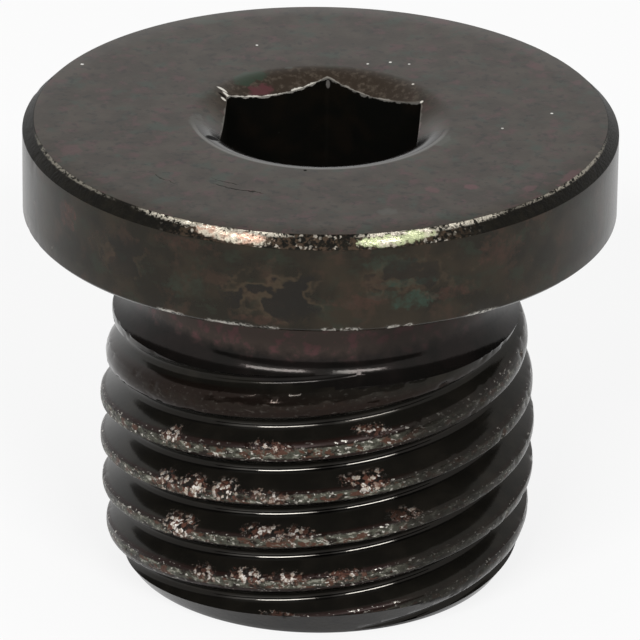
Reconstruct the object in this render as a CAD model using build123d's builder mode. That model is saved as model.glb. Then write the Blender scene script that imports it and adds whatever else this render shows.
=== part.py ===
from build123d import *
import math
import os

# Flange, in millimetres
overall_length = 15.0
flange_diameter = 18.6
flange_thickness = 3.1
flange_face_chamfer = 0.35
flange_seat_chamfer = 0.12

# Relief between the flange and the thread
neck_diameter = 11.8
neck_length = 3.25
neck_edge_diameter = 13.0
neck_fillet_radius = 0.5
neck_flare_radius = 1.0

# Outside thread, right-hand, with straight flanks and a rounded root
thread_diameter = 13.8
thread_pitch = 1.5
thread_starts = 3
thread_flank_angle = 60.0
thread_crest_width = 0.30
thread_root_radius = 0.21
thread_turn = -21.2

# Chamfered end of the thread, and the shares of the thread's length over which its crests come in and run out
end_face_diameter = 12.0
end_chamfer_length = 1.0
lead_in_diameter = 13.4
lead_in_share = 0.30
run_out_share = 0.40

# Hexagon socket with a countersunk mouth and a drilled point
socket_across_flats = 6.1
socket_depth = 7.0
socket_point_angle = 120.0
socket_turn = -3.2
countersink_diameter = 7.5
countersink_angle = 120.0
countersink_lip_radius = 1.8

# Radii and heights that follow; heights are counted up from the end face of the thread
flange_radius = flange_diameter / 2
neck_radius = neck_diameter / 2
neck_edge_radius = neck_edge_diameter / 2
thread_radius = thread_diameter / 2
end_face_radius = end_face_diameter / 2
lead_in_radius = lead_in_diameter / 2
flange_seat_height = overall_length - flange_thickness
neck_edge_height = flange_seat_height - neck_length
lead_in_height = end_chamfer_length + lead_in_share * (neck_edge_height - end_chamfer_length)
run_out_height = neck_edge_height - run_out_share * (neck_edge_height - end_chamfer_length)
socket_floor_height = overall_length - socket_depth
socket_point_length = socket_across_flats / 2 / math.tan(math.radians(socket_point_angle / 2))
countersink_length = countersink_diameter / 2 / math.tan(math.radians(countersink_angle / 2))

# The flare leaves the neck's wall smoothly and turns outwards until it reaches the neck's edge
neck_flare_turn = math.acos(1 - (neck_edge_radius - neck_radius) / neck_flare_radius)
neck_flare_height = neck_edge_height + neck_flare_radius * math.sin(neck_flare_turn)
neck_fillet_height = flange_seat_height - neck_fillet_radius
neck_joint_height = (neck_flare_height + neck_fillet_height) / 2

# The groove between two crests, seen along the thread: straight flanks that touch a round root
half_flank_angle = math.radians(thread_flank_angle / 2)
groove_half_width = (thread_pitch - thread_crest_width) / 2
groove_point_radius = thread_radius - groove_half_width / math.tan(half_flank_angle)
root_centre_radius = groove_point_radius + thread_root_radius / math.sin(half_flank_angle)
root_half_width = thread_root_radius * math.cos(half_flank_angle)
root_edge_radius = root_centre_radius - thread_root_radius * math.sin(half_flank_angle)

# The turned outline of the shank cuts the crests where they come in and run out, and stands clear of them between
outline_clearance = 0.15
outline_radius = thread_radius + outline_clearance

# The thread rises by its lead in one full turn, and its rod is a pitch longer than the shank at both ends
thread_lead = thread_starts * thread_pitch
rod_bottom = -thread_pitch
rod_length = neck_joint_height + thread_pitch - rod_bottom


def section_point(radius, height, start):
    """Place a point of the level section: a height along the thread becomes its share of a turn."""
    turn = math.radians(thread_turn) + 2 * math.pi * (start / thread_starts + (height + rod_bottom) / thread_lead)
    return (radius * math.cos(turn), radius * math.sin(turn))


def groove_flank(start, side):
    """Give the ends and middle of one flank of a groove, from the crest down to the round root."""
    middle_radius = (thread_radius + root_edge_radius) / 2
    middle_half_width = (groove_half_width + root_half_width) / 2
    return (
        section_point(thread_radius, thread_pitch / 2 + side * groove_half_width, start),
        section_point(middle_radius, thread_pitch / 2 + side * middle_half_width, start),
        section_point(root_edge_radius, thread_pitch / 2 + side * root_half_width, start),
    )


with BuildPart() as plug:

    # Turned outline of the shank: chamfered end, slow tapers at both ends of the thread and the flare into the neck
    with BuildSketch(Plane.XZ) as shank_section:
        with BuildLine():
            Polyline(
                (0, 0),
                (end_face_radius, 0),
                (lead_in_radius, end_chamfer_length),
                (thread_radius, lead_in_height),
                (outline_radius, lead_in_height + outline_clearance),
                (outline_radius, run_out_height - outline_clearance),
                (thread_radius, run_out_height),
                (neck_edge_radius, neck_edge_height),
            )
            RadiusArc(
                (neck_edge_radius, neck_edge_height),
                (neck_radius, neck_flare_height),
                neck_flare_radius,
            )
            Polyline((neck_radius, neck_flare_height), (neck_radius, neck_joint_height), (0, neck_joint_height), (0, 0))
        make_face()
    revolve(axis=Axis.Z)

    # Level section of the thread: for each start a crest, then a groove with its root
    with BuildSketch(Plane.XY.offset(rod_bottom), mode=Mode.PRIVATE) as thread_section:
        with BuildLine():
            for start in range(thread_starts):
                ThreePointArc(
                    section_point(thread_radius, -thread_crest_width / 2, start),
                    section_point(thread_radius, 0, start),
                    section_point(thread_radius, thread_crest_width / 2, start),
                )
                ThreePointArc(*groove_flank(start, -1))
                ThreePointArc(
                    section_point(root_edge_radius, thread_pitch / 2 - root_half_width, start),
                    section_point(root_centre_radius - thread_root_radius, thread_pitch / 2, start),
                    section_point(root_edge_radius, thread_pitch / 2 + root_half_width, start),
                )
                ThreePointArc(*reversed(groove_flank(start, 1)))
        make_face()

    # Threaded rod: the section turns as it rises, and what it shares with the outline is the shank
    add(
        Solid.extrude_linear_with_rotation(
            thread_section.sketch.face(),
            center=(0, 0, rod_bottom),
            normal=(0, 0, rod_length),
            angle=360 * rod_length / thread_lead,
        ),
        mode=Mode.INTERSECT,
    )

    # Upper neck and flange, with both corners of the rim broken
    with BuildSketch(Plane.XZ) as flange_section:
        with BuildLine():
            Polyline(
                (0, neck_joint_height),
                (neck_radius, neck_joint_height),
                (neck_radius, neck_fillet_height),
            )
            RadiusArc(
                (neck_radius, neck_fillet_height),
                (neck_radius + neck_fillet_radius, flange_seat_height),
                neck_fillet_radius,
            )
            Polyline(
                (neck_radius + neck_fillet_radius, flange_seat_height),
                (flange_radius - flange_seat_chamfer, flange_seat_height),
                (flange_radius, flange_seat_height + flange_seat_chamfer),
                (flange_radius, overall_length - flange_face_chamfer),
                (flange_radius - flange_face_chamfer, overall_length),
                (0, overall_length),
                (0, neck_joint_height),
            )
        make_face()
    revolve(axis=Axis.Z)

    # Countersunk mouth, its rim rolled over into the face of the flange
    with BuildSketch(Plane.XZ) as countersink_section:
        with BuildLine():
            Polyline(
                (0, overall_length - countersink_length),
                (countersink_diameter / 2, overall_length),
                (0, overall_length),
                close=True,
            )
        make_face()
    revolve(axis=Axis.Z, mode=Mode.SUBTRACT)
    mouth_rim = plug.edges().filter_by(GeomType.CIRCLE).group_by(Axis.Z)[-1].sort_by(SortBy.RADIUS)[0]
    fillet(mouth_rim, radius=countersink_lip_radius)

    # Hexagon socket, one corner pointing to the back
    with BuildSketch(Plane.XY.offset(overall_length)) as socket_section:
        RegularPolygon(
            radius=socket_across_flats / 2,
            side_count=6,
            major_radius=False,
            rotation=socket_turn + 90,
        )
    extrude(amount=-socket_depth, mode=Mode.SUBTRACT)

    # Drilled point below the flats
    with BuildSketch(Plane.XZ) as point_section:
        with BuildLine():
            Polyline(
                (0, socket_floor_height - socket_point_length),
                (socket_across_flats / 2, socket_floor_height),
                (0, socket_floor_height),
                close=True,
            )
        make_face()
    revolve(axis=Axis.Z, mode=Mode.SUBTRACT)

plug.part.label = "plug"
os.makedirs("parts", exist_ok=True)
export_step(plug.part, "parts/plug.step")
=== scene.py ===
import logging
import math
from collections.abc import Iterator
from contextlib import contextmanager
from dataclasses import dataclass
from enum import Enum

import bpy
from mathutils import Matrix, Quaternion, Vector, noise


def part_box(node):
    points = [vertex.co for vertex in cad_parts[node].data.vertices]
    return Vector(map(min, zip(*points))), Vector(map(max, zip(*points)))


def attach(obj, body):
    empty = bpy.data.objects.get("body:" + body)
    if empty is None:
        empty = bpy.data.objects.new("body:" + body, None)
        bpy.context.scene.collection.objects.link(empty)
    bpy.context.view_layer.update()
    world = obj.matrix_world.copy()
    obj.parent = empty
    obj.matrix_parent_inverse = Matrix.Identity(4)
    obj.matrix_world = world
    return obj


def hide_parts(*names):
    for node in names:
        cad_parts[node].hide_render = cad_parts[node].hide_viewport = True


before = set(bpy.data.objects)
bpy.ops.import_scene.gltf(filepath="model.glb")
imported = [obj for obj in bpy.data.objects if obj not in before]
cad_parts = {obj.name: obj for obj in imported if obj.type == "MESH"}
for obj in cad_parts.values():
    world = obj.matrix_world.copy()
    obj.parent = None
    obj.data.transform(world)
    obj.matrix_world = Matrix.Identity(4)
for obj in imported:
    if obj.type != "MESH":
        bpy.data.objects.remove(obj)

log = logging.getLogger("hex_socket_plug")

Colour = tuple[float, float, float]
Socket = bpy.types.NodeSocket

METRES_PER_MM = 0.001
MERGE_WITHIN_MM = 0.0005
CUT_WITHIN_MM = 0.00001


class Region(Enum):
    """The parts of the plug's surface that have a finish of their own."""

    FACE = 0
    SOCKET = 1
    CHAMFER = 2
    RIM = 3
    NECK = 4
    THREAD = 5
    END = 6


@dataclass(frozen=True)
class Corner:
    """One corner of a turned outline, in millimetres.

    Args:
        radius: Distance from the axis.
        height: Height above the end face of the thread.
        rounding: Radius that breaks the corner, 0 for a sharp one.
        steps: Edges that the rounding is divided into.
        spacing: Longest edge on the straight run that follows the corner.
    """

    radius: float
    height: float
    rounding: float = 0.0
    steps: int = 4
    spacing: float = 10.0


@dataclass(frozen=True)
class Spot:
    """A place on the plug that is worn, stained or bruised.

    Args:
        azimuth: Degrees from the front, positive to the right.
        level: Height above the end face, or on a flat face the radius, in millimetres.
        width: Half of its width, in degrees.
        height: Half of its height, in millimetres.
        strength: How strong it is in the middle, from 0 to 1.
    """

    azimuth: float
    level: float
    width: float
    height: float
    strength: float = 1.0

    def reach(self, azimuth: float, level: float) -> float:
        """Tell how strong the spot is at a place, fading to nothing at its edge."""
        across = (azimuth - self.azimuth) / self.width
        up = (level - self.level) / self.height
        return self.strength * max(0.0, 1.0 - across * across - up * up)


Spots = tuple[Spot, ...]


def spots_at(*rows: tuple[float, ...]) -> Spots:
    """Make spots of rows that give azimuth, level, width, height and perhaps strength."""
    return tuple(Spot(*row) for row in rows)


BARE_STEEL: Colour = (0.62, 0.59, 0.53)
SOOT: Colour = (0.001, 0.001, 0.001)
CORNER_GLINT = spots_at((176.5, 14.62, 1.2, 0.16, 0.6))
BRUISED_CRESTS = spots_at(
    (-42.0, 6.27, 3.5, 0.28, 0.7), (-43.5, 4.68, 4.5, 0.30, 0.8), (-34.3, 4.82, 4.5, 0.42, 1.0),
    (-24.5, 4.98, 4.0, 0.36, 0.9), (-12.0, 5.05, 7.0, 0.20, 0.6), (8.7, 5.75, 3.0, 0.28, 0.8),
    (14.0, 5.62, 4.5, 0.42, 1.0), (-39.2, 3.32, 5.5, 0.50, 1.0), (-14.0, 3.75, 6.0, 0.22, 0.7),
    (-4.0, 3.85, 4.0, 0.16, 0.5), (24.0, 4.25, 5.0, 0.16, 0.4), (-31.0, 1.90, 4.0, 0.25, 0.6),
    (-18.0, 2.13, 6.0, 0.20, 0.8), (-6.6, 2.25, 5.0, 0.18, 0.7), (9.0, 2.35, 6.0, 0.20, 0.7),
    (-8.0, 0.80, 7.0, 0.14, 0.5), (-12.0, 6.70, 6.0, 0.16, 0.6), (15.0, 7.22, 5.0, 0.14, 0.6),
)
WORN_CHAMFER = spots_at(
    (-15, 14.80, 6.0, 0.14, 1.0), (-21, 14.86, 4.0, 0.12, 0.8), (13, 14.80, 6.5, 0.13, 1.0),
    (19, 14.86, 4.0, 0.12, 0.9),
)
CHAMFER_EDGE = spots_at(
    (-26, 14.96, 13, 0.09, 1.0), (-12, 14.95, 8, 0.07, 0.8), (27, 14.96, 13, 0.09, 1.0),
    (14, 14.95, 8, 0.07, 0.8), (60, 14.97, 22, 0.06, 0.5), (-62, 14.97, 20, 0.06, 0.35),
)
NICKED_SEAT_EDGE = spots_at(
    (-29, 12.0, 3.0, 0.16, 0.8), (-17, 12.0, 5.0, 0.16, 0.7), (-9, 12.0, 2.0, 0.12, 0.5),
    (2, 12.0, 1.6, 0.14, 0.9), (6, 12.0, 2.2, 0.14, 0.9), (14, 12.0, 1.5, 0.16, 1.0),
    (17, 12.0, 1.0, 0.16, 1.0), (32, 12.0, 4.0, 0.12, 0.6),
)


def leave_nothing_selected() -> None:
    """Deselect everything, the CAD nodes included."""
    if bpy.context.object is not None and bpy.context.object.mode != "OBJECT":
        bpy.ops.object.mode_set(mode="OBJECT")
    bpy.ops.object.select_all(action="DESELECT")


def work_on(piece: bpy.types.Object) -> None:
    """Make one piece the only selected object, and the active one."""
    leave_nothing_selected()
    piece.select_set(True)
    bpy.context.view_layer.objects.active = piece


@contextmanager
def whole_mesh() -> Iterator[None]:
    """Edit the active piece's mesh, all of it selected."""
    bpy.ops.object.mode_set(mode="EDIT")
    bpy.ops.mesh.select_all(action="SELECT")
    yield
    bpy.ops.object.mode_set(mode="OBJECT")


def azimuth_of(place: Vector) -> float:
    """Degrees from the front, positive to the right."""
    return math.degrees(math.atan2(place.x, -place.y))


def outline_points(corners: list[Corner]) -> list[tuple[float, float]]:
    """Turn a list of corners into the points of an outline.

    Args:
        corners: The corners in order; the first and the last stay sharp.

    Returns:
        Radius and height of each point, with roundings as arcs and long runs divided.
    """
    places = [Vector((corner.radius, corner.height)) for corner in corners]
    arcs: list[list[Vector]] = [[places[0]]]
    for index in range(1, len(corners) - 1):
        here = places[index]
        back = (places[index - 1] - here).normalized()
        ahead = (places[index + 1] - here).normalized()
        rounding = corners[index].rounding
        if rounding == 0:
            arcs.append([here])
            continue
        half_angle = back.angle(ahead) / 2
        start = here + back * rounding / math.tan(half_angle)
        centre = here + (back + ahead).normalized() * rounding / math.sin(half_angle)
        sweep = (start - centre).angle_signed(here + ahead * rounding / math.tan(half_angle) - centre)
        steps = corners[index].steps
        arm = start - centre
        arc = []
        for step in range(steps + 1):
            turn = -sweep * step / steps
            across = arm.x * math.cos(turn) - arm.y * math.sin(turn)
            up = arm.x * math.sin(turn) + arm.y * math.cos(turn)
            arc.append(centre + Vector((across, up)))
        arcs.append(arc)
    arcs.append([places[-1]])
    points: list[tuple[float, float]] = []
    for index, arc in enumerate(arcs):
        points.extend((place.x, place.y) for place in arc)
        if index + 1 < len(arcs):
            run = arcs[index + 1][0] - arc[-1]
            pieces = max(1, math.ceil(run.length / corners[index].spacing))
            for step in range(1, pieces):
                place = arc[-1] + run * step / pieces
                points.append((place.x, place.y))
    return points


def draw_outline(name: str, points: list[tuple[float, float]]) -> bpy.types.Object:
    """Draw an outline in the XZ plane by extruding one vertex from point to point.

    Args:
        name: Name of the new object.
        points: Radius and height of each point.

    Returns:
        The new object, a chain of edges.
    """
    leave_nothing_selected()
    bpy.ops.mesh.primitive_plane_add(size=1.0, location=(0, 0, 0))
    outline = bpy.context.object
    outline.name = name
    bpy.ops.object.mode_set(mode="EDIT")
    bpy.ops.mesh.select_mode(type="VERT")
    bpy.ops.mesh.select_all(action="SELECT")
    bpy.ops.mesh.merge(type="CENTER")
    bpy.ops.transform.translate(value=(points[0][0], 0, points[0][1]))
    for here, there in zip(points, points[1:]):
        move = (there[0] - here[0], 0, there[1] - here[1])
        bpy.ops.mesh.extrude_region_move(TRANSFORM_OT_translate={"value": move})
    bpy.ops.object.mode_set(mode="OBJECT")
    return outline


def turn_solid(name: str, points: list[tuple[float, float]], steps: int) -> bpy.types.Object:
    """Turn a closed solid on the Z axis, as on a lathe.

    Args:
        name: Name of the new object.
        points: Outline from the axis, round the section and back to the axis.
        steps: Divisions of the full turn.

    Returns:
        The new object, closed at both poles.
    """
    solid = draw_outline(name, points)
    wind(solid, steps)
    return solid


def wind(outline: bpy.types.Object, steps: int, lead: float = 0.0, turns: int = 1) -> None:
    """Wind an outline round the Z axis, straight round or up a screw.

    Args:
        outline: The chain of edges that is wound; it becomes the surface.
        steps: Divisions of one turn.
        lead: Rise in one turn.
        turns: Number of turns.
    """
    screw = outline.modifiers.new("screw", "SCREW")
    screw.axis = "Z"
    screw.angle = 2 * math.pi
    screw.screw_offset = lead
    screw.iterations = turns
    screw.steps = steps
    screw.render_steps = steps
    screw.use_merge_vertices = False
    work_on(outline)
    bpy.ops.object.modifier_apply(modifier=screw.name)
    with whole_mesh():
        bpy.ops.mesh.remove_doubles(threshold=MERGE_WITHIN_MM)
        bpy.ops.mesh.normals_make_consistent(inside=False)


def combine(piece: bpy.types.Object, tool: bpy.types.Object, operation: str) -> None:
    """Join or cut a piece with a tool body, which is used up.

    Args:
        piece: The piece that stays.
        tool: The body that is added, kept in common or taken away.
        operation: UNION, INTERSECT or DIFFERENCE.
    """
    work_on(piece)
    modifier = piece.modifiers.new(operation.lower(), "BOOLEAN")
    modifier.operation = operation
    modifier.solver = "MANIFOLD"
    modifier.object = tool
    bpy.ops.object.modifier_apply(modifier=modifier.name)
    mesh = tool.data
    bpy.data.objects.remove(tool)
    bpy.data.meshes.remove(mesh)


@dataclass
class Thread:
    """The outside thread: three starts side by side, right-hand, with domed and bruised crests.

    Args:
        crest_diameter: Outside diameter of the crests.
        pitch: Height from one crest to the next.
        starts: Threads that run side by side.
        crest_width: Width of a crest's flat.
        crest_rounding: Radius that breaks the edges of a crest.
        flank_angle: Angle between the two flanks of a groove, in degrees.
        root_radius: Radius of the round root.
        turn: Azimuth from +X at which a crest passes height zero, in degrees.
        lead_in: Diameter and height at which the crests start, above the end chamfer.
        full_height: Heights between which the crests have their full diameter.
        run_out: Diameter and height at which they end, at the neck's edge.
        doming: How far the edges of a crest lie below its middle, in millimetres.
        blending: How softly a crest passes into its flanks, in millimetres.
        worn_depth: How far below the crests wear still reaches.
        waviness: Height of the slow waves of the crests.
        nick_depth: Depth of the deepest nicks.
        dent_depth: Depth of a bruise between its pits.
        pit_depth: Depth of the pits in a bruise.
        steps: Divisions of one turn.
        bottom: Height at which the rod starts, below the end face.
        top: Height at which the rod ends, in the neck.
    """

    crest_diameter: float = 13.8
    pitch: float = 1.5
    starts: int = 3
    crest_width: float = 0.30
    crest_rounding: float = 0.05
    flank_angle: float = 60.0
    root_radius: float = 0.21
    turn: float = -21.2
    lead_in: tuple[float, float] = (13.4, 1.0)
    full_height: tuple[float, float] = (3.295, 5.59)
    run_out: tuple[float, float] = (13.0, 8.65)
    doming: float = 0.022
    blending: float = 0.02
    worn_depth: float = 0.35
    waviness: float = 0.008
    nick_depth: float = 0.11
    dent_depth: float = 0.015
    pit_depth: float = 0.14
    steps: int = 448
    bottom: float = -0.8
    top: float = 10.4

    @property
    def lead(self) -> float:
        """Rise of one crest in a full turn."""
        return self.pitch * self.starts

    def crest_radius_at(self, height: float) -> float:
        """Radius that the crests reach at a height, with the slow tapers at both ends.

        Args:
            height: Height above the end face.

        Returns:
            The radius, without doming and wear.
        """
        radius = self.crest_diameter / 2
        for (diameter, end), full in zip((self.lead_in, self.run_out), self.full_height):
            share = (height - full) / (end - full)
            radius -= (self.crest_diameter - diameter) / 2 * min(1.0, max(0.0, share))
        return radius

    def crest_height_at(self, azimuth: float) -> float:
        """Height of a crest's middle at an azimuth from the front, in degrees."""
        return self.lead * (azimuth - 90 - self.turn) / 360

    def groove_corners(self, base: float) -> list[Corner]:
        """Corners of one groove, up from the middle of the crest below it.

        Args:
            base: Height of the middle of that crest.

        Returns:
            Crest edge, the corner of the root and the next crest edge.
        """
        crest_radius = self.crest_diameter / 2
        half_groove = (self.pitch - self.crest_width) / 2
        depth = half_groove / math.tan(math.radians(self.flank_angle / 2))
        return [
            Corner(crest_radius, base + self.crest_width / 2, self.crest_rounding, 2, 0.18),
            Corner(crest_radius - depth, base + self.pitch / 2, self.root_radius, 5, 0.18),
            Corner(crest_radius, base + self.pitch - self.crest_width / 2, self.crest_rounding, 2, 0.09),
        ]

    def rod(self) -> bpy.types.Object:
        """Make the threaded rod, longer than the shank at both ends.

        Returns:
            A closed rod, drawn as one outline of three pitches and screwed up the axis.
        """
        azimuth_of_outline = 90
        first_crest = self.crest_height_at(azimuth_of_outline) - 2 * self.lead
        corners = [Corner(self.crest_diameter / 2, first_crest)]
        for start in range(self.starts):
            corners.extend(self.groove_corners(first_crest + start * self.pitch))
        corners.append(Corner(self.crest_diameter / 2, first_crest + self.lead))
        rod = draw_outline("thread_rod", outline_points(corners))
        wind(rod, self.steps, self.lead, math.ceil((self.top - self.bottom) / self.lead) + 2)
        self.bruise(rod)
        for height, normal in ((self.bottom, (0, 0, -1)), (self.top, (0, 0, 1))):
            with whole_mesh():
                bpy.ops.mesh.bisect(
                    plane_co=(0, 0, height),
                    plane_no=normal,
                    use_fill=True,
                    clear_outer=True,
                    threshold=CUT_WITHIN_MM,
                )
        with whole_mesh():
            bpy.ops.mesh.normals_make_consistent(inside=False)
        return rod

    def bruise(self, rod: bpy.types.Object) -> None:
        """Dome the crests, taper them at both ends, and dent them where they are worn.

        Args:
            rod: The screwed rod, before its ends are cut.
        """
        for vertex in rod.data.vertices:
            place = vertex.co
            radius = math.hypot(place.x, place.y)
            limit = self.crest_radius_at(place.z)
            if radius < limit - self.worn_depth:
                continue
            azimuth = azimuth_of(place)
            wear = min(1.0, sum(spot.reach(azimuth, place.z) for spot in BRUISED_CRESTS))
            wave = noise.noise(place * 1.3)
            nick = max(0.0, noise.noise(place * 3.1 + Vector((7, 0, 3))) - 0.28)
            pits = abs(noise.noise(place * 5.5)) + 0.5 * abs(noise.noise(place * 11.0))
            from_crest = (place.z - self.crest_height_at(azimuth)) / self.pitch
            from_crest = (from_crest - round(from_crest)) * self.pitch
            limit -= self.doming * 4 * (1 - math.exp(-((from_crest / self.crest_width) ** 2)))
            limit -= self.waviness * (1 + wave) + self.nick_depth * nick
            limit -= wear * (self.dent_depth + self.pit_depth * pits)
            over = (radius - limit) / self.blending
            fall = self.blending * math.log1p(math.exp(over)) if over < 30 else radius - limit
            shrink = (radius - fall) / radius
            vertex.co = (place.x * shrink, place.y * shrink, place.z)


@dataclass
class Plug:
    """The whole plug: turned body, thread, neck and flange with its hexagon socket.

    Args:
        thread: The outside thread.
        length: Overall length, from the frame.
        flange_diameter: Diameter of the flange, from the frame.

    The other sizes are in millimetres and degrees.
    """

    thread: Thread
    length: float
    flange_diameter: float
    flange_thickness: float = 3.1
    face_chamfer: float = 0.35
    seat_chamfer: float = 0.12
    edge_rounding: float = 0.07
    neck_diameter: float = 11.8
    neck_fillet: float = 0.5
    neck_flare: float = 1.0
    end_diameter: float = 12.0
    crest_clearance: float = 0.15
    socket_across_flats: float = 6.1
    socket_depth: float = 7.0
    socket_turn: float = -3.2
    socket_corner_rounding: float = 0.10
    drill_diameter: float = 6.0
    countersink_diameter: float = 7.6
    countersink_angle: float = 120.0
    countersink_lip: float = 1.2
    nick_depth: float = 0.03
    pit_depth: float = 0.055
    sharp_angle: float = 32.0
    steps: int = 448

    @property
    def seat(self) -> float:
        """Height of the flange's underside."""
        return self.length - self.flange_thickness

    @property
    def countersink_slope(self) -> float:
        """Rise of the countersink's cone for each millimetre outwards."""
        return math.tan(math.radians(90 - self.countersink_angle / 2))

    def body_corners(self) -> list[Corner]:
        """Corners of the turned body, from the end face up to the bottom of the countersink.

        Returns:
            The corners, from the axis round to the axis.
        """
        neck_edge_radius, neck_edge = self.thread.run_out[0] / 2, self.thread.run_out[1]
        clear = self.thread.crest_diameter / 2 + self.crest_clearance
        end = self.end_diameter / 2
        chamfer_radius, chamfer_top = self.thread.lead_in[0] / 2, self.thread.lead_in[1]
        overrun = chamfer_top / (chamfer_radius - end) * (clear - end)
        flare_turn = math.acos(1 - (neck_edge_radius - self.neck_diameter / 2) / self.neck_flare)
        flare_corner = neck_edge + self.neck_flare * (math.sin(flare_turn) - math.tan(flare_turn / 2))
        rim, seat = self.flange_diameter / 2, self.seat
        sink = self.countersink_diameter / 2
        return [
            Corner(0, 0, spacing=2.1),
            Corner(end, 0, self.edge_rounding, 3, 0.2),
            Corner(clear, overrun),
            Corner(clear, neck_edge - 0.35),
            Corner(neck_edge_radius, neck_edge, 0.04, 3, 0.2),
            Corner(self.neck_diameter / 2, flare_corner, self.neck_flare * 0.96, 9, 0.45),
            Corner(self.neck_diameter / 2, seat, self.neck_fillet, 7, 1.0),
            Corner(rim - self.seat_chamfer, seat, self.edge_rounding, 2, 0.1),
            Corner(rim, seat + self.seat_chamfer, self.edge_rounding, 2, 0.6),
            Corner(rim, self.length - self.face_chamfer, self.edge_rounding, 3, 0.07),
            Corner(rim - self.face_chamfer, self.length, self.edge_rounding, 3, 0.8),
            Corner(sink, self.length, self.countersink_lip, 7, 0.3),
            Corner(0, self.length - sink * self.countersink_slope),
        ]

    def build(self) -> bpy.types.Object:
        """Make the plug's mesh in millimetres, then bring it to metres.

        Returns:
            The finished piece, at the origin.
        """
        piece = turn_solid("plug_dressed", outline_points(self.body_corners()), self.steps)
        self.batter(piece)
        mould = self.thread.rod()
        combine(mould, self.cover(), "UNION")
        combine(piece, mould, "INTERSECT")
        punch = self.hexagon()
        combine(punch, self.drill(), "UNION")
        combine(piece, punch, "DIFFERENCE")
        work_on(piece)
        with whole_mesh():
            bpy.ops.transform.resize(value=(METRES_PER_MM,) * 3, center_override=(0, 0, 0))
        bpy.ops.object.shade_smooth_by_angle(angle=math.radians(self.sharp_angle))
        return piece

    def batter(self, body: bpy.types.Object) -> None:
        """Dent the flange's two edges where they are worn.

        Args:
            body: The turned body, still in millimetres.
        """
        rim = self.flange_diameter / 2
        for vertex in body.data.vertices:
            place = vertex.co
            radius = math.hypot(place.x, place.y)
            level = self.length - place.z
            top = 0.004 < level < self.face_chamfer + 0.12 and radius > rim - 0.5
            low = abs(place.z - self.seat) < 0.2 and radius > rim - 0.25
            if not (top or low):
                continue
            azimuth = azimuth_of(place)
            spots = WORN_CHAMFER + CHAMFER_EDGE if top else NICKED_SEAT_EDGE
            wear = min(1.0, sum(spot.reach(azimuth, place.z) for spot in spots))
            pits = abs(noise.noise(place * 4.0)) + 0.6 * abs(noise.noise(place * 9.0))
            nick = max(0.0, noise.noise(place * 2.3) - 0.3)
            dent = self.nick_depth * nick + wear * self.pit_depth * pits
            drop = -dent if top else dent
            shrink = 1 - dent / radius
            vertex.co = (place.x * shrink, place.y * shrink, place.z + drop)

    def cover(self) -> bpy.types.Object:
        """Make the block over the threaded rod that keeps the flange and the neck whole.

        Returns:
            The block, wider than the flange.
        """
        leave_nothing_selected()
        base = self.thread.top - 0.3
        height = self.length + 1 - base
        bpy.ops.mesh.primitive_cylinder_add(
            vertices=96, radius=self.flange_diameter, depth=height, location=(0, 0, base + height / 2)
        )
        cover = bpy.context.object
        bpy.ops.object.transform_apply(location=True, rotation=True, scale=True)
        return cover

    def hexagon(self) -> bpy.types.Object:
        """Make the hexagon punch, one corner to the back, with its long edges broken.

        Returns:
            The punch, which stands out of the face.
        """
        leave_nothing_selected()
        depth = self.socket_depth + 1
        bpy.ops.mesh.primitive_cylinder_add(
            vertices=6,
            radius=self.socket_across_flats / 2 / math.cos(math.pi / 6),
            depth=depth,
            location=(0, 0, self.length - self.socket_depth + depth / 2),
            rotation=(0, 0, math.radians(self.socket_turn)),
        )
        punch = bpy.context.object
        bpy.ops.object.transform_apply(location=True, rotation=True, scale=True)
        bpy.ops.object.mode_set(mode="EDIT")
        bpy.ops.mesh.select_mode(type="EDGE")
        bpy.ops.mesh.select_all(action="DESELECT")
        bpy.ops.object.mode_set(mode="OBJECT")
        for edge in punch.data.edges:
            low, high = (punch.data.vertices[index].co for index in edge.vertices)
            edge.select = abs(low.z - high.z) > depth / 2
        bpy.ops.object.mode_set(mode="EDIT")
        bpy.ops.mesh.bevel(offset=self.socket_corner_rounding, segments=4, affect="EDGES")
        bpy.ops.mesh.select_all(action="SELECT")
        bpy.ops.object.mode_set(mode="OBJECT")
        return punch

    def drill(self) -> bpy.types.Object:
        """Make the drill that leaves the pointed floor under the flats.

        Returns:
            The drill, with its point down.
        """
        radius = self.drill_diameter / 2
        floor = self.length - self.socket_depth
        corners = [
            Corner(0, floor - radius / math.sqrt(3)),
            Corner(radius, floor),
            Corner(radius, floor + 1.0),
            Corner(0, floor + 1.0),
        ]
        return turn_solid("drill", outline_points(corners), 96)

    def region_of(self, place: Vector, normal: Vector) -> Region:
        """Tell which region of the plug's surface a place lies in.

        Args:
            place: A place on the surface, in metres.
            normal: The surface's normal there.

        Returns:
            The region whose finish it has.
        """
        radius = Vector((place.x, place.y)).length / METRES_PER_MM
        height = place.z / METRES_PER_MM
        sink = self.countersink_diameter / 2
        lip = sink + 0.5
        near, nearer = 0.02, 0.001
        if height > self.length - 0.03 and radius > lip:
            on_face = radius < self.flange_diameter / 2 - self.face_chamfer - near
            return Region.FACE if on_face else Region.CHAMFER
        if radius < lip and height > 5:
            in_socket = normal.z < 0.4 or height < self.length - sink
            return Region.SOCKET if in_socket else Region.FACE
        if height > self.length - self.face_chamfer - near:
            return Region.CHAMFER
        if height > self.seat - nearer:
            return Region.RIM
        if height > self.thread.run_out[1] - nearer:
            return Region.NECK
        chamfer_radius, chamfer_top = self.thread.lead_in[0] / 2, self.thread.lead_in[1]
        end = self.end_diameter / 2
        on_chamfer = end + (chamfer_radius - end) * height / chamfer_top
        if height < near or (height < chamfer_top + 0.15 and radius > on_chamfer - near):
            return Region.END
        return Region.THREAD


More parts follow.
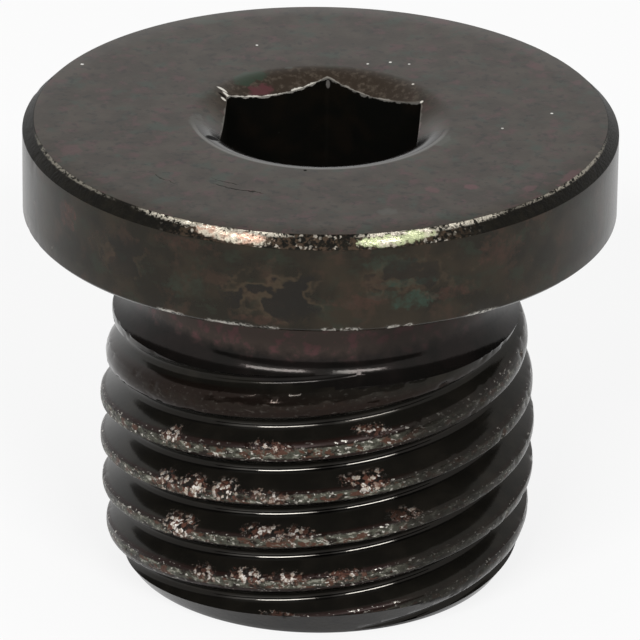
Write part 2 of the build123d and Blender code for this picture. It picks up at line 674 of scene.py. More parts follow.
class Value:
    """A number that a node gives. Arithmetic on it adds more nodes.

    Args:
        bench: The bench that the node is on.
        socket: The node's output.
    """

    def __init__(self, bench: "NodeBench", socket: Socket) -> None:
        """Keep the bench and the output."""
        self.bench = bench
        self.socket = socket

    def __add__(self, other: "Number") -> "Value":
        """Add."""
        return self.bench.math("ADD", self, other)

    def __sub__(self, other: "Number") -> "Value":
        """Subtract."""
        return self.bench.math("SUBTRACT", self, other)

    def __rsub__(self, other: float) -> "Value":
        """Subtract from a plain number."""
        return self.bench.math("SUBTRACT", other, self)

    def __mul__(self, other: "Number") -> "Value":
        """Multiply."""
        return self.bench.math("MULTIPLY", self, other)

    def __truediv__(self, other: "Number") -> "Value":
        """Divide."""
        return self.bench.math("DIVIDE", self, other)

    def __abs__(self) -> "Value":
        """Drop the sign."""
        return self.bench.math("ABSOLUTE", self)

    def ramp(self, low: float, high: float, start: float = 0.0, end: float = 1.0) -> "Value":
        """Rise smoothly from start to end while this goes from low to high."""
        return self.line(low, high, start, end, "SMOOTHSTEP")

    def line(self, low: float, high: float, start: float, end: float, bend: str = "LINEAR") -> "Value":
        """Go from start to end while this goes from low to high.

        Args:
            low: This number where the way starts.
            high: This number where the way ends.
            start: What comes out at low.
            end: What comes out at high.
            bend: LINEAR for a straight way, SMOOTHSTEP for a soft one.

        Returns:
            The new value.
        """
        feeds = {"Value": self, "From Min": low, "From Max": high, "To Min": start, "To Max": end}
        made = self.bench.node("MapRange", feeds, interpolation_type=bend)
        return Value(self.bench, made.outputs["Result"])


Number = Value | float


class NodeBench:
    """Builds a node tree.

    Args:
        owner: The material or world whose nodes they are.
    """

    def __init__(self, owner: bpy.types.Material | bpy.types.World) -> None:
        """Leave the owner nothing but its output."""
        self.owner = owner
        owner.use_nodes = True
        self.tree = owner.node_tree
        self.tree.nodes.clear()
        self.output = self.node("OutputWorld" if isinstance(owner, bpy.types.World) else "OutputMaterial")

    def node(self, kind: str, feeds: dict | None = None, **settings: object) -> bpy.types.Node:
        """Add a node.

        Args:
            kind: Its kind.
            feeds: What its inputs get, by name or number.
            settings: Its properties.

        Returns:
            The new node.
        """
        made = self.tree.nodes.new(f"ShaderNode{kind}")
        for key, value in settings.items():
            setattr(made, key, value)
        for key, value in (feeds or {}).items():
            self.feed(made.inputs[key], value)
        return made

    def feed(self, socket: Socket, value: object) -> None:
        """Link a socket to another, or set it to a plain value.

        Args:
            socket: The input.
            value: An output, or the value that it is set to.
        """
        if isinstance(value, Value):
            value = value.socket
        if isinstance(value, Socket):
            self.tree.links.new(value, socket)
        elif socket.type == "RGBA":
            socket.default_value = (*value, 1.0)
        else:
            socket.default_value = value

    def math(self, operation: str, *values: Number | Socket) -> Value:
        """Combine numbers."""
        return Value(self, self.node("Math", dict(enumerate(values)), operation=operation).outputs[0])

    def show(self, shader: bpy.types.Node) -> None:
        """Send a shader to the output."""
        self.feed(self.output.inputs["Surface"], shader.outputs[0])

    def seen(self) -> Value:
        """Give 1 for what is seen, mirrored or seen through something, and 0 for light on the plug.

        Returns:
            The 1 or 0 for each ray.
        """
        path = self.node("LightPath").outputs
        direct = self.math("MAXIMUM", path["Is Camera Ray"], path["Is Glossy Ray"])
        return self.math("MAXIMUM", direct, path["Is Transmission Ray"])


class Coat(NodeBench):
    """The finish of one region while it is laid on, layer by layer.

    Args:
        finish: The finish that lies at the bottom.
        plug: The plug, whose sizes place the marks.
    """

    def __init__(self, finish: "OxideFinish", plug: Plug) -> None:
        """Find the place on the plug, and lay on the plain finish."""
        super().__init__(bpy.data.materials.new(finish.name))
        self.plug = plug
        coordinates = self.node("TexCoord").outputs["Object"]
        scaled = self.node("VectorMath", {0: coordinates, "Scale": 1 / METRES_PER_MM}, operation="SCALE")
        self.place = scaled.outputs[0]
        split = self.node("SeparateXYZ", {0: self.place}).outputs
        across, depth, self.height = (Value(self, output) for output in split)
        self.radius = self.math("SQRT", across * across + depth * depth)
        self.azimuth = self.math("ARCTAN2", across, depth * -1.0) * (180 / math.pi)
        clouds = self.noise(finish.cloud_size, 4.0).ramp(0.38, 0.68)
        self.colour = self.mix(clouds, finish.dark, finish.light)
        self.roughness: Number = finish.gloss
        self.metallic: Number = finish.bare
        self.relief = self.noise(0.14, 4.0, 0.6)

    def mix(self, factor: Value, first: Colour | Socket, second: Colour | Socket) -> Socket:
        """Mix two colours."""
        feeds = {"Factor": factor, "A": first, "B": second}
        return self.node("Mix", feeds, data_type="RGBA").outputs["Result"]

    def stain(self, factor: Value, colour: Colour | Socket) -> None:
        """Change the colour alone."""
        self.colour = self.mix(factor, self.colour, colour)

    def lay(self, factor: Value, colour: Colour | Socket, roughness: float, metallic: float) -> None:
        """Lay another finish over this one.

        Args:
            factor: Where it covers, from 0 to 1.
            colour: Its colour.
            roughness: Its roughness.
            metallic: Its share of bare metal.
        """
        self.stain(factor, colour)
        rest = 1.0 - factor
        self.roughness = rest * self.roughness + factor * roughness
        self.metallic = rest * self.metallic + factor * metallic

    def noise(
        self,
        size: float,
        detail: float = 3.0,
        roughness: float = 0.5,
        shift: Colour | None = None,
        stretch: Colour = (1.0, 1.0, 1.0),
    ) -> Value:
        """Give cloudy noise.

        Args:
            size: Width of its blots, in millimetres.
            detail: How many finer layers it has.
            roughness: How strong they are.
            shift: Where it starts, so that two noises differ.
            stretch: How much it is pressed together on each axis.

        Returns:
            The noise, about 0 to 1.
        """
        place = self.place
        if shift is not None:
            place = self.node("Mapping", {"Vector": place, "Location": shift, "Scale": stretch}).outputs[0]
        feeds = {"Vector": place, "Scale": 1 / size, "Detail": detail, "Roughness": roughness}
        return Value(self, self.node("TexNoise", feeds).outputs["Fac"])

    def crumbs(self, size: float, fold: float = 0.0, push: float = 0.0) -> tuple[Value, Value]:
        """Scatter crumbs.

        Args:
            size: Distance between crumbs, in millimetres.
            fold: Width of the folds that crumple their even shapes, if any.
            push: How far the folds push them.

        Returns:
            The distance from the nearest crumb, in cells, and a number from 0 to 1 of its own.
        """
        place = self.place
        if fold:
            folds = self.node("TexNoise", {"Vector": place, "Scale": 1 / fold, "Detail": 2.0})
            feeds = {0: folds.outputs["Color"], 1: (2 * push,) * 3, 2: place}
            place = self.node("VectorMath", feeds, operation="MULTIPLY_ADD").outputs[0]
        made = self.node("TexVoronoi", {"Vector": place, "Scale": 1 / size}).outputs
        own = self.node("SeparateColor", {0: made["Color"]}).outputs[0]
        return Value(self, made["Distance"]), Value(self, own)

    def spots(self, spots: Spots, level: Value, ragged: Number = 0.0) -> Value:
        """Give the strength of the strongest of a group of spots.

        Args:
            spots: The spots.
            level: Height or radius, in millimetres.
            ragged: What roughens their edges, about -0.5 to 0.5.

        Returns:
            The strength at each place.
        """
        total: Number = 0.0
        for spot in spots:
            across = (self.azimuth - spot.azimuth) / spot.width
            up = (level - spot.level) / spot.height
            shape = (across * across + up * up + ragged).ramp(0.35, 1.15, spot.strength, 0.0)
            total = self.math("MAXIMUM", total, shape)
        return total

    def from_hexagon(self) -> Value:
        """Give how far a place lies outside the socket's hexagon, in millimetres.

        Returns:
            The distance from the nearest flat, negative inside the hexagon.
        """
        far: Number = 0.0
        for side in range(3):
            turn = math.radians(self.plug.socket_turn + 60 * side)
            feeds = {0: self.place, 1: (math.cos(turn), math.sin(turn), 0.0)}
            across = Value(self, self.node("VectorMath", feeds, operation="DOT_PRODUCT").outputs["Value"])
            far = self.math("MAXIMUM", far, abs(across))
        return far - self.plug.socket_across_flats / 2

    def thread_levels(self) -> tuple[Value, Value]:
        """Give millimetres above the middle of the nearest crest, and above the nearest root.

        Returns:
            The two heights, negative below the middle.
        """
        thread = self.plug.thread
        climb = (self.azimuth - (90 + thread.turn)) * (thread.lead / 360)
        share = (self.height - climb) / thread.pitch
        from_crest, from_root = (self.math("FRACT", share + shift) - 0.5 for shift in (0.5, 0.0))
        return from_crest * thread.pitch, from_root * thread.pitch

    def under_crests(self) -> Value:
        """Give millimetres below the radius that the crests reach.

        Returns:
            The depth, with the slow tapers at both ends.
        """
        thread = self.plug.thread
        full = thread.crest_diameter / 2
        (first, start), (last, end) = thread.lead_in, thread.run_out
        lower = self.height.line(start, thread.full_height[0], first / 2, full)
        upper = self.height.line(thread.full_height[1], end, full, last / 2)
        return self.math("MINIMUM", lower, upper) - self.radius

    def under_mouth(self) -> Value:
        """Give millimetres below the cone of the countersink.

        Returns:
            The depth, measured straight down.
        """
        slope = self.plug.countersink_slope
        bottom = self.plug.length - self.plug.countersink_diameter / 2 * slope
        return self.math("MULTIPLY_ADD", self.radius, slope, bottom) - self.height

    def material(self, shine: float, grain: float) -> bpy.types.Material:
        """Close the coat.

        Args:
            shine: Specular level.
            grain: Depth of its relief, in millimetres.

        Returns:
            The material.
        """
        bump = self.node("Bump", {"Height": self.relief, "Distance": grain * METRES_PER_MM})
        feeds = {"Base Color": self.colour, "Roughness": self.roughness, "Metallic": self.metallic}
        feeds |= {"Specular IOR Level": shine, "Normal": bump.outputs["Normal"]}
        self.show(self.node("BsdfPrincipled", feeds))
        return self.owner


@dataclass(frozen=True)
class OxideFinish:
    """Black oxide on steel: a dark skin with clouds in it.

    Args:
        name: Name of the material.
        dark: Colour of most of the skin.
        light: Colour of its clouds.
        cloud_size: Width of a cloud in millimetres.
        gloss: Roughness of the skin.
        grain: Depth of its fine grain, in millimetres.
        shine: Specular level, half as much as plastic has.
        bare: 1 where the skin mirrors by its own dark colour alone, as polished oxide does.
    """

    name: str
    dark: Colour
    light: Colour
    cloud_size: float
    gloss: float
    grain: float
    shine: float = 0.25
    bare: float = 0.0

    def material(self, plug: Plug) -> bpy.types.Material:
        """Build the material for a plug."""
        coat = Coat(self, plug)
        self.mark(coat)
        return coat.material(self.shine, self.grain)

    def mark(self, coat: Coat) -> None:
        """Add the marks that only this region has; plain oxide has none."""


@dataclass(frozen=True)
class FaceFinish(OxideFinish):
    """The satin outer face and its countersink, with faint tints, specks and worn hexagon edges."""

    pink_dabs: Spots = spots_at(
        (122, 8.0, 3, 0.30, 0.5), (154, 8.7, 3, 0.25, 0.5), (32, 6.5, 2, 0.25, 0.7),
        (41, 7.0, 2, 0.22, 0.9), (50, 8.3, 2, 0.20, 0.7), (60, 8.8, 5, 0.20, 0.7),
        (-70, 8.2, 4, 0.35, 0.5), (-145, 3.30, 8, 0.26, 1.0),
    )
    green_dabs: Spots = spots_at(
        (-154, 8.5, 3, 0.35, 0.5), (-144, 3.9, 10, 0.35, 1.0), (66, 4.3, 8, 0.35, 0.5),
        (-10, 5.2, 5, 0.35, 0.4),
    )
    pale_dabs: Spots = spots_at(
        (-76, 3.85, 16, 0.30, 0.6), (66, 4.15, 9, 0.22, 0.6), (52, 4.0, 8, 0.16, 0.4),
        (-165, 4.0, 2, 0.07, 0.8), (16, 7.5, 2.5, 0.3, 0.5),
    )
    # painted shade at three corners of the hexagon
    corner_shade_spots: Spots = spots_at(
        (-64, 3.70, 4.0, 0.26, 0.8), (-121, 3.62, 1.0, 0.16, 0.8), (-6.3, 4.2, 0.8, 0.06),
    )
    burrs: Spots = spots_at(
        (-125, 3.80, 0.9, 0.22), (-123.5, 3.55, 0.9, 0.18), (-119, 3.50, 0.9, 0.10),
        (117, 3.54, 1.0, 0.06), (133, 3.95, 0.7, 0.05),
    )
    specks: Spots = spots_at(
        (-160, 6.04, 0.45, 0.05), (153.7, 4.92, 0.6, 0.06), (93.7, 7.22, 0.4, 0.05),
        (82.4, 5.69, 0.5, 0.05, 0.7), (-117.5, 8.54, 0.4, 0.06), (161, 4.5, 0.6, 0.06, 0.8),
        (147, 5.1, 0.5, 0.05, 0.8),
    )
    scratches: Spots = spots_at(
        (-24, 6.2, 9, 0.035), (-29, 5.9, 6, 0.03, 0.6), (-44, 6.9, 5, 0.03, 0.5),
    )

    def mark(self, coat: Coat) -> None:
        """Add tints, specks, scratches, the worn edge of the hexagon, a painted highlight and painted
        shade at the countersink's lip in front, and painted shade at three corners of the hexagon.

        Args:
            coat: The coat that gets the marks.
        """
        radius, turned = coat.radius, abs(coat.azimuth)
        fine = coat.noise(0.35, 4.0, 0.6) - 0.5
        blush = coat.noise(0.55, 5.0, 0.65, (9.0, 4.0, 0.0))
        coat.stain(blush.ramp(0.52, 0.66) * 0.9, (0.056, 0.025, 0.024))
        moss = coat.noise(0.9, 5.0, 0.65, (1.0, 7.0, 2.0))
        coat.stain(moss.ramp(0.52, 0.68) * 0.9, (0.024, 0.034, 0.023))
        faint = coat.noise(0.28, 4.0, 0.6, (3.0, 1.0, 2.0))
        coat.stain(faint.ramp(0.54, 0.66) * 0.6, (0.004, 0.003, 0.002))
        tan = coat.noise(0.22, 5.0, 0.65).ramp(0.46, 0.68)
        brown = coat.mix(tan, (0.036, 0.027, 0.020), (0.078, 0.062, 0.048))
        coat.stain(radius.ramp(4.30, 3.75) * turned.ramp(100.0, 135.0), brown)
        for dabs, colour in (
            (self.pink_dabs, (0.085, 0.034, 0.036)),
            (self.green_dabs, (0.032, 0.044, 0.030)),
            (self.pale_dabs, (0.066, 0.066, 0.056)),
        ):
            coat.stain(coat.spots(dabs, radius, fine * 3.5), colour)
        scratch = coat.spots(self.scratches, radius + fine * 0.35)
        coat.lay(scratch * 0.8, SOOT, 0.9, 0.0)
        coat.lay(coat.spots(self.specks, radius), (0.75, 0.74, 0.70), 0.6, 0.0)
        front = abs(coat.azimuth + 2.0).ramp(84.0, 66.0)
        # painted shade: a near-black, glossy band just inside the countersink's lip in front, where the
        # cone turns away and mirrors the dark socket
        coat.lay(radius.ramp(3.99, 3.92) * front * 0.95, (0.006, 0.005, 0.004), 0.17, 1.0)
        # painted highlight: a thin light line along the countersink's lip in front
        coat.stain(radius.ramp(4.12, 4.05) * radius.ramp(3.95, 4.00) * front, (0.12, 0.117, 0.108))
        worn = (coat.from_hexagon() + fine * 0.22).ramp(0.055, 0.015) * radius.ramp(3.75, 3.55)
        left = abs(coat.azimuth + 152.0).ramp(34.0, 20.0, 0.10, 0.9)
        bright = coat.math("MAXIMUM", left, turned.ramp(128.0, 140.0, 0.0, 0.3))
        coat.lay(worn * bright, BARE_STEEL, 0.35, 0.8)
        coat.lay(coat.spots(self.burrs, radius), BARE_STEEL, 0.4, 0.7)
        # painted shade: black spots at three corners of the hexagon, for the shade in the small gaps there
        coat.lay(coat.spots(self.corner_shade_spots, radius), SOOT, 0.9, 1.0)
        coat.relief = coat.relief * 0.35 - scratch


@dataclass(frozen=True)
class SocketFinish(OxideFinish):
    """The dark walls of the socket, with a worn line along their upper edge."""

    def mark(self, coat: Coat) -> None:
        """Add the worn line under the mouth, a glint in the back corner and dots.

        Args:
            coat: The coat that gets the marks.
        """
        fine = coat.noise(0.2) - 0.5
        worn = (coat.under_mouth() + fine * 0.25).ramp(0.06, 0.015)
        bright = abs(coat.azimuth + 155.0).ramp(40.0, 14.0, 0.22, 0.8)
        coat.lay(worn * bright, BARE_STEEL, 0.35, 0.8)
        coat.stain(coat.spots(CORNER_GLINT, coat.height), (0.16, 0.15, 0.14))
        coat.stain(coat.crumbs(1.1)[0].ramp(0.05, 0.03) * 0.5, (0.06, 0.06, 0.055))


@dataclass(frozen=True)
class ChamferFinish(OxideFinish):
    """The chamfer round the outer face: black at the sides, worn and sparkling in front."""

    def mark(self, coat: Coat) -> None:
        """Wear it down to bright metal in front.

        Args:
            coat: The coat that gets the marks.
        """
        fine = coat.noise(0.16, 4.0, 0.7) - 0.5
        coarse = coat.noise(0.5, shift=(3.0, 3.0, 3.0)) - 0.5
        tint = coat.mix(coat.azimuth.ramp(-4.0, 4.0), (0.62, 0.40, 0.30), (0.50, 0.54, 0.32))
        tint = coat.mix(coarse.ramp(-0.04, 0.10), tint, (0.66, 0.60, 0.48))
        dust = abs(coat.azimuth).ramp(34.0, 22.0)
        coat.lay(dust * fine.ramp(-0.02, 0.10) * 0.7, (0.060, 0.040, 0.026), 0.4, 0.0)
        patches = coat.spots(WORN_CHAMFER, coat.height, fine * 3.5)
        coat.lay(patches * fine.ramp(-0.20, -0.05), tint, 0.30, 1.0)
        edge = coat.spots(CHAMFER_EDGE, coat.height, fine * 4.0)
        coat.lay(edge * fine.ramp(-0.07, 0.02), (0.50, 0.46, 0.38), 0.32, 0.9)
        from_chip, own = coat.crumbs(0.15, 0.08, 0.09)
        chips = from_chip.ramp(0.46, 0.26) * own.ramp(0.50, 0.95, 0.0, 0.65)
        coat.lay(chips * dust, (0.42, 0.38, 0.32), 0.35, 0.9)
        coat.relief = coat.noise(0.12, 4.0, 0.7)


@dataclass(frozen=True)
class RimFinish(OxideFinish):
    """The side of the flange: olive-brown with teal stains, flaked patches and nicked edges."""

    teal_stains: Spots = spots_at(
        (17, 13.45, 6, 0.14, 0.8), (18, 12.85, 5, 0.32, 1.0), (12, 13.10, 4, 0.16, 0.6),
        (13, 14.10, 6, 0.30, 0.5), (-25, 13.0, 5, 0.45, 0.35),
    )
    red_stains: Spots = spots_at(
        (-56, 13.9, 3, 0.45, 1.0), (8, 12.9, 6, 0.25, 0.6), (25, 12.9, 5, 0.2, 0.6),
        (-11, 12.25, 6, 0.15, 0.5), (-27, 14.4, 6, 0.2, 0.4), (36, 13.9, 5, 0.5, 0.5),
    )
    flaked: Spots = spots_at(
        (-8, 13.1, 11, 0.95, 1.0), (16, 13.6, 9, 0.8, 0.6), (27, 13.6, 5, 0.7, 0.7),
        (-40, 13.4, 7, 0.8, 0.5),
    )

    def mark(self, coat: Coat) -> None:
        """Add stains, flaked patches with light borders, grains and nicks.

        Args:
            coat: The coat that gets the marks.
        """
        height = coat.height
        fine = coat.noise(0.22, 5.0, 0.65) - 0.5
        ragged = fine * 5.0
        moss = coat.noise(0.8, 5.0, 0.65, (5.0, 2.0, 8.0), (1.0, 1.0, 1.6))
        coat.stain(moss.ramp(0.50, 0.68) * 0.6, (0.014, 0.018, 0.010))
        blush = coat.noise(0.7, 5.0, 0.6, (0.0, 6.0, 1.0))
        coat.stain(blush.ramp(0.52, 0.66) * 0.6, (0.030, 0.016, 0.009))
        soft = coat.noise(0.3, 5.0, 0.7).ramp(0.36, 0.62, 0.15, 0.9)
        coat.stain(coat.spots(self.teal_stains, height, ragged) * soft, (0.017, 0.032, 0.021))
        coat.stain(coat.spots(self.red_stains, height, ragged) * soft, (0.044, 0.018, 0.012))
        flakes = coat.noise(1.3, 4.0, 0.5, (2.6, 1.0, 0.4), (1.0, 1.0, 1.25))
        here = coat.spots(self.flaked, height, fine * 2.0)
        coat.stain(flakes.ramp(0.53, 0.56) * here * 0.8, (0.006, 0.0045, 0.003))
        border = abs(flakes - 0.515).ramp(0.045, 0.0) * here
        coat.stain(border * 0.55, (0.048, 0.032, 0.018))
        coat.lay(coat.crumbs(0.75)[0].ramp(0.06, 0.03) * 0.35, (0.20, 0.19, 0.15), 0.4, 0.3)
        low = (height + fine * 0.35).ramp(12.10, 12.0)
        nicks = low * coat.spots(NICKED_SEAT_EDGE, height, ragged)
        coat.lay(nicks * fine.ramp(-0.10, 0.04), BARE_STEEL, 0.35, 0.9)
        coat.relief = coat.relief + border * 0.8


@dataclass(frozen=True)
class NeckFinish(OxideFinish):
    """The neck: lighter and reddish where it is open to the front, a painted reflection with a reddish
    tint, black in the flare below.
    """

    def mark(self, coat: Coat) -> None:
        """Add the painted reflection on the upper neck: a lighter, reddish wall in front, dimmer to the
        right.

        Args:
            coat: The coat that gets the marks.
        """
        fine = coat.noise(0.45, 5.0, 0.6) - 0.5
        # painted reflection: the upper neck is laid lighter in front and dimmer to the right, where it
        # mirrors the pale floor; the reddish cast is the neck's own tint
        reddish_sheen = (coat.height + fine * 0.8).ramp(9.25, 9.85) * coat.azimuth.ramp(8.0, 24.0, 1.0, 0.35)
        blush = coat.mix(fine.ramp(0.0, 0.13), (0.052, 0.037, 0.030), (0.086, 0.040, 0.040))
        coat.lay(reddish_sheen, blush, 0.26, 0.0)


@dataclass(frozen=True)
class ThreadFinish(OxideFinish):
    """The thread: glossy black flanks and worn, speckled crests."""

    def mark(self, coat: Coat) -> None:
        """Paint highlights into the roots, and wear the crests, most where they are bruised; the wear is
        dimmed towards the right as painted shade.

        Args:
            coat: The coat that gets the marks.
        """
        below, (above_crest, above_root) = coat.under_crests(), coat.thread_levels()
        fine = coat.noise(0.13, 4.0, 0.65) - 0.5
        self.paint_root_highlights(coat, below, above_root)
        edge, middle = below + fine * 0.08, abs(above_crest + fine * 0.12)
        band = edge.ramp(0.12, 0.07) * middle.ramp(0.18, 0.12)
        open_crest = (coat.height - coat.azimuth * (coat.plug.thread.lead / 360)).ramp(7.75, 7.2)
        # painted shade: the crest wear is laid weaker towards the right, so the crests there come out
        # darker, as the surroundings they mirror on that side are darker; nearer the neck the wear fades
        # out as well
        sides = coat.azimuth.ramp(16.0, 30.0, 1.0, 0.14) + coat.azimuth.ramp(48.0, 62.0, 0.0, 0.2)
        wear_and_right_shade = sides * coat.math("MAXIMUM", open_crest, 0.05)
        covered = below.ramp(0.32, 0.22) * coat.height.ramp(8.60, 8.10, 0.0, 0.7) * (1.0 - open_crest)
        coat.lay(covered, (0.015, 0.009, 0.007), 0.14, 0.7)
        coat.lay(band * wear_and_right_shade, self.worn_colours(coat), 0.34, 0.1)
        # partly painted shade: a dark border round each worn crest band, where the crest rounds over into
        # its flanks; the reddish cast is a tint
        border = edge.ramp(0.20, 0.10) * middle.ramp(0.12, 0.22)
        coat.lay(border * wear_and_right_shade * 0.8, (0.012, 0.004, 0.003), 0.35, 0.2)
        rough_edge = edge.ramp(0.12, 0.08) * edge.ramp(0.02, 0.05)
        flecks = coat.noise(0.16, 3.0, 0.6, (0.0, 9.0, 0.0), (1.0, 1.0, 1.8)).ramp(0.59, 0.66)
        coat.lay(flecks * coat.math("MAXIMUM", band, rough_edge) * wear_and_right_shade * 0.7, BARE_STEEL, 0.35, 0.8)
        lumps = self.crumble(coat, below, fine)
        coat.relief = coat.relief * 0.06 + band * wear_and_right_shade * fine + lumps

    def paint_root_highlights(self, coat: Coat, below: Value, above_root: Value) -> None:
        """Paint the highlights of the two soft boxes into the roots, in two columns left and right of the
        middle.

        Args:
            coat: The coat.
            below: Millimetres below the crests.
            above_root: Millimetres above the nearest root.
        """
        # painted highlight: the lower side of each root is laid glossy and bare, lighter in colour only in
        # the two columns where the soft boxes are mirrored, dark between them
        glossy = abs(above_root + 0.10).ramp(0.10, 0.03) * below.ramp(0.45, 0.65)
        left = abs(coat.azimuth + 14.0).ramp(16.0, 6.0, 0.12, 1.0)
        right = abs(coat.azimuth - 14.5).ramp(12.0, 5.0, 0.0, 0.8)
        painted_highlight_columns = coat.math("MAXIMUM", left, right)
        coat.lay(glossy, coat.mix(painted_highlight_columns, (0.010, 0.009, 0.008), (0.075, 0.071, 0.064)), 0.07, 1.0)

    def worn_colours(self, coat: Coat) -> Socket:
        """Give the colours of a worn crest: dark and olive bits, rust and pale strokes.

        Args:
            coat: The coat.

        Returns:
            The mixed colour.
        """
        coarse = coat.noise(0.35, 5.0, 0.68, (4.0, 0.0, 0.0), (1.0, 1.0, 2.0)) - 0.5
        dull = coat.mix(coarse.ramp(-0.10, 0.0), (0.010, 0.006, 0.004), (0.050, 0.050, 0.038))
        rusty = coat.noise(0.4, 4.0, 0.6, (0.0, 3.0, 6.0), (1.0, 1.0, 1.5)).ramp(0.52, 0.60)
        dull = coat.mix(rusty, dull, (0.060, 0.028, 0.018))
        return coat.mix(coarse.ramp(0.06, 0.12), dull, (0.170, 0.165, 0.135))

    def crumble(self, coat: Coat, below: Value, fine: Value) -> Value:
        """Scatter rusty and pale crumbs where the crests are bruised.

        Args:
            coat: The coat.
            below: Millimetres below the crests.
            fine: Fine noise round zero.

        Returns:
            How far the crumbs stand out, from 0 to 1.
        """
        bruised = coat.spots(BRUISED_CRESTS, coat.height, fine * 4.0)
        outside = below.ramp(0.60, 0.30)
        from_crumb, own = coat.crumbs(0.145, 0.12, 0.10)
        lumps = bruised * from_crumb.ramp(0.85, 0.60) * outside
        rust = coat.mix(own.ramp(0.22, 0.30), (0.006, 0.004, 0.003), (0.080, 0.033, 0.022))
        coat.lay(lumps, rust, 0.5, 0.0)
        white = bruised * own.ramp(0.55, 0.60) * from_crumb.ramp(0.66, 0.44) * outside
        pale = coat.mix(fine.ramp(-0.06, 0.06), (0.30, 0.25, 0.20), (0.72, 0.69, 0.64))
        coat.lay(white, pale, 0.40, 0.2)
        return lumps


FINISHES = {
    Region.FACE: FaceFinish(
        "flange_face_oxide", (0.026, 0.0185, 0.0115), (0.043, 0.033, 0.023), 0.9, 0.32, 0.004, bare=1.0
    ),
    Region.SOCKET: SocketFinish(
        "socket_oxide", (0.002, 0.002, 0.0015), (0.004, 0.003, 0.002), 1.0, 0.5, 0.004, 0.06
    ),
    Region.CHAMFER: ChamferFinish(
        "worn_chamfer_oxide", (0.003, 0.0025, 0.0015), (0.006, 0.005, 0.003), 0.3, 0.4, 0.03, 0.06
    ),
    Region.RIM: RimFinish(
        "rim_oxide", (0.0085, 0.0062, 0.0025), (0.018, 0.0125, 0.006), 1.2, 0.24, 0.004, 0.22
    ),
    Region.NECK: NeckFinish(
        "neck_oxide", (0.012, 0.011, 0.010), (0.017, 0.014, 0.013), 1.0, 0.12, 0.003, 0.12, 0.6
    ),
    Region.THREAD: ThreadFinish(
        "thread_oxide", (0.012, 0.011, 0.009), (0.017, 0.015, 0.012), 0.8, 0.13, 0.028, 0.12, 0.5
    ),
    Region.END: OxideFinish(
        "end_oxide", (0.011, 0.010, 0.009), (0.017, 0.015, 0.013), 0.6, 0.22, 0.006, 0.12, 0.5
    ),
}


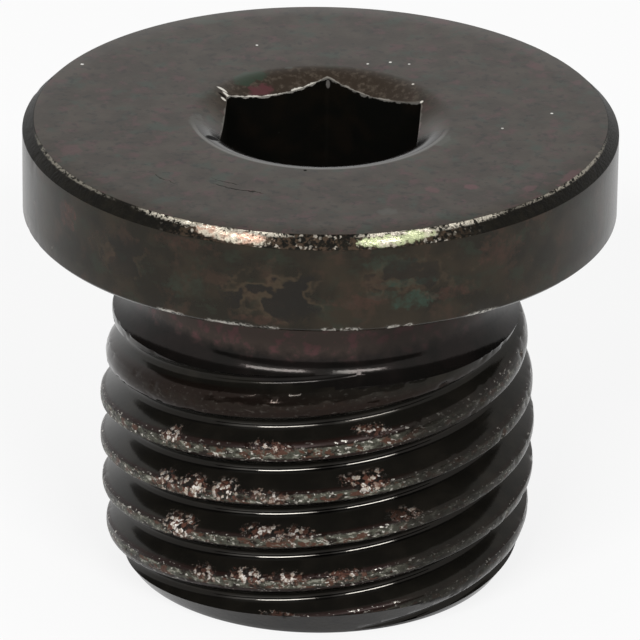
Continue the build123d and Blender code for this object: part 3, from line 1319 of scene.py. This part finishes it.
@dataclass
class Studio:
    """Floor, backdrop, lamps and camera.

    Args:
        target_height: Height that the camera's lens was aimed about, in millimetres.
        distance: From the camera to that place on the axis, in millimetres.
        elevation: Degrees above the horizon.
        roll: Degrees that the object leans clockwise in the photograph.
        focal_pixels: Focal length in pixels of a frame 640 wide.
        target_pixel: Where that place appears in the frame.
        floor_grey: Share of light that the floor gives back.
        floor_glow: Share of plain white in the floor where it is seen or mirrored.
        backdrop_light: Strength of the backdrop as light on the plug.
    """

    target_height: float = 7.5
    distance: float = 222.93
    elevation: float = 25.107
    roll: float = 0.702
    focal_pixels: float = 7056.0
    target_pixel: tuple[float, float] = (318.198, 334.552)
    frame_pixels: float = 640.0
    sensor: float = 36.0
    floor_grey: float = 0.86
    floor_glow: float = 0.8
    backdrop_light: float = 0.55

    def camera(self) -> None:
        """Set up the camera at the photograph's viewing angle."""
        data = bpy.data.cameras.new("camera")
        data.sensor_width = self.sensor
        data.lens = self.focal_pixels * self.sensor / self.frame_pixels
        data.clip_start = 0.01
        data.clip_end = 20
        camera = bpy.data.objects.new("camera", data)
        bpy.context.scene.collection.objects.link(camera)
        rise = math.radians(self.elevation)
        back = Vector((0, -math.cos(rise), math.sin(rise)))
        target = Vector((0, 0, self.target_height))
        camera.location = (target + back * self.distance) * METRES_PER_MM
        camera.rotation_mode = "QUATERNION"
        aim = (-back).to_track_quat("-Z", "Y")
        view_axis = aim @ Vector((0, 0, 1))
        camera.rotation_quaternion = Quaternion(view_axis, math.radians(self.roll)) @ aim
        middle = self.frame_pixels / 2
        data.shift_x = (middle - self.target_pixel[0]) / self.frame_pixels
        data.shift_y = (self.target_pixel[1] - middle) / self.frame_pixels
        bpy.context.scene.camera = camera

    def floor(self) -> None:
        """Lay the pale floor, which keeps the plug's shadow."""
        leave_nothing_selected()
        bpy.ops.mesh.primitive_plane_add(size=3.0, location=(0, 0, 0))
        floor = bpy.context.object
        floor.name = "floor"
        bench = NodeBench(bpy.data.materials.new("pale_floor"))
        diffuse = bench.node("BsdfDiffuse", {"Color": (self.floor_grey,) * 3}).outputs[0]
        glow = bench.node("Emission", {"Color": (1.0, 1.0, 1.0)}).outputs[0]
        bench.show(bench.node("MixShader", {0: bench.seen() * self.floor_glow, 1: diffuse, 2: glow}))
        floor.data.materials.append(bench.owner)

    def card(self, name: str, distance: float, width: float, height: float) -> None:
        """Stand a dark card in front, outside the camera's view, for the oxide to mirror.

        Args:
            name: Name of the card.
            distance: From the plug's axis, in metres.
            width: Its width in metres.
            height: Its height in metres.
        """
        leave_nothing_selected()
        place = (0, -distance, height / 2 + 0.002)
        bpy.ops.mesh.primitive_plane_add(size=1.0, location=place, rotation=(math.pi / 2, 0, 0))
        card = bpy.context.object
        card.name = name
        card.scale = (width, height, 1)
        bpy.ops.object.transform_apply(location=True, rotation=True, scale=True)
        bench = NodeBench(bpy.data.materials.new(name))
        bench.show(bench.node("BsdfDiffuse", {"Color": (0.02, 0.02, 0.02)}))
        card.data.materials.append(bench.owner)

    def backdrop(self) -> None:
        """Light the surroundings: white where seen or mirrored, dimmer as light on the plug."""
        world = bpy.data.worlds.new("backdrop")
        bpy.context.scene.world = world
        bench = NodeBench(world)
        strength = bench.seen().line(0.0, 1.0, self.backdrop_light, 1.0)
        bench.show(bench.node("Background", {"Color": (1.0, 1.0, 1.0), "Strength": strength}))

    def lamp(
        self,
        name: str,
        azimuth: float,
        elevation: float,
        distance: float,
        size: tuple[float, float],
        radiance: float,
    ) -> None:
        """Hang one soft box that points at the plug.

        Args:
            name: Name of the lamp.
            azimuth: Degrees from the front, positive to the right.
            elevation: Degrees above the horizon.
            distance: From the plug, in metres.
            size: Width and height in metres.
            radiance: Brightness of its face, where 1 is white.
        """
        data = bpy.data.lights.new(name, "AREA")
        data.shape = "RECTANGLE"
        data.size, data.size_y = size
        data.energy = radiance * math.pi * size[0] * size[1]
        lamp = bpy.data.objects.new(name, data)
        bpy.context.scene.collection.objects.link(lamp)
        turn, rise = math.radians(azimuth), math.radians(elevation)
        away = Vector((math.sin(turn) * math.cos(rise), -math.cos(turn) * math.cos(rise), math.sin(rise)))
        lamp.location = away * distance
        lamp.rotation_mode = "QUATERNION"
        lamp.rotation_quaternion = away.to_track_quat("Z", "Y")

    def build(self) -> None:
        """Set up the whole studio."""
        self.camera()
        self.floor()
        self.card("front_card", 0.35, 1.4, 0.15)
        self.backdrop()
        self.lamp("left_box", -26, 35, 0.4, (0.214, 0.05), 26.0)
        self.lamp("right_box", 26, 35, 0.4, (0.17, 0.05), 26.0)
        bpy.context.scene.view_settings.view_transform = "Standard"


def dress(piece: bpy.types.Object, plug: Plug) -> None:
    """Give each region of the plug its finish.

    Args:
        piece: The finished mesh.
        plug: The plug that it was made from.
    """
    piece.data.materials.clear()
    for region in Region:
        piece.data.materials.append(FINISHES[region].material(plug))
    for polygon in piece.data.polygons:
        polygon.material_index = plug.region_of(polygon.center, polygon.normal).value


def main() -> None:
    """Build the plug, dress it, and set up the studio round it."""
    logging.basicConfig(level=logging.INFO, format="%(name)s: %(message)s")
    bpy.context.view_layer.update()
    low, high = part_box("plug")
    size = (high - low) / METRES_PER_MM
    plug = Plug(Thread(), length=size.z, flange_diameter=size.x)
    piece = plug.build()
    dress(piece, plug)
    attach(piece, "root")
    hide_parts("plug")
    log.info("%s: %d triangles", piece.name, sum(len(p.vertices) - 2 for p in piece.data.polygons))
    Studio().build()


if __name__ == "__main__":
    main()
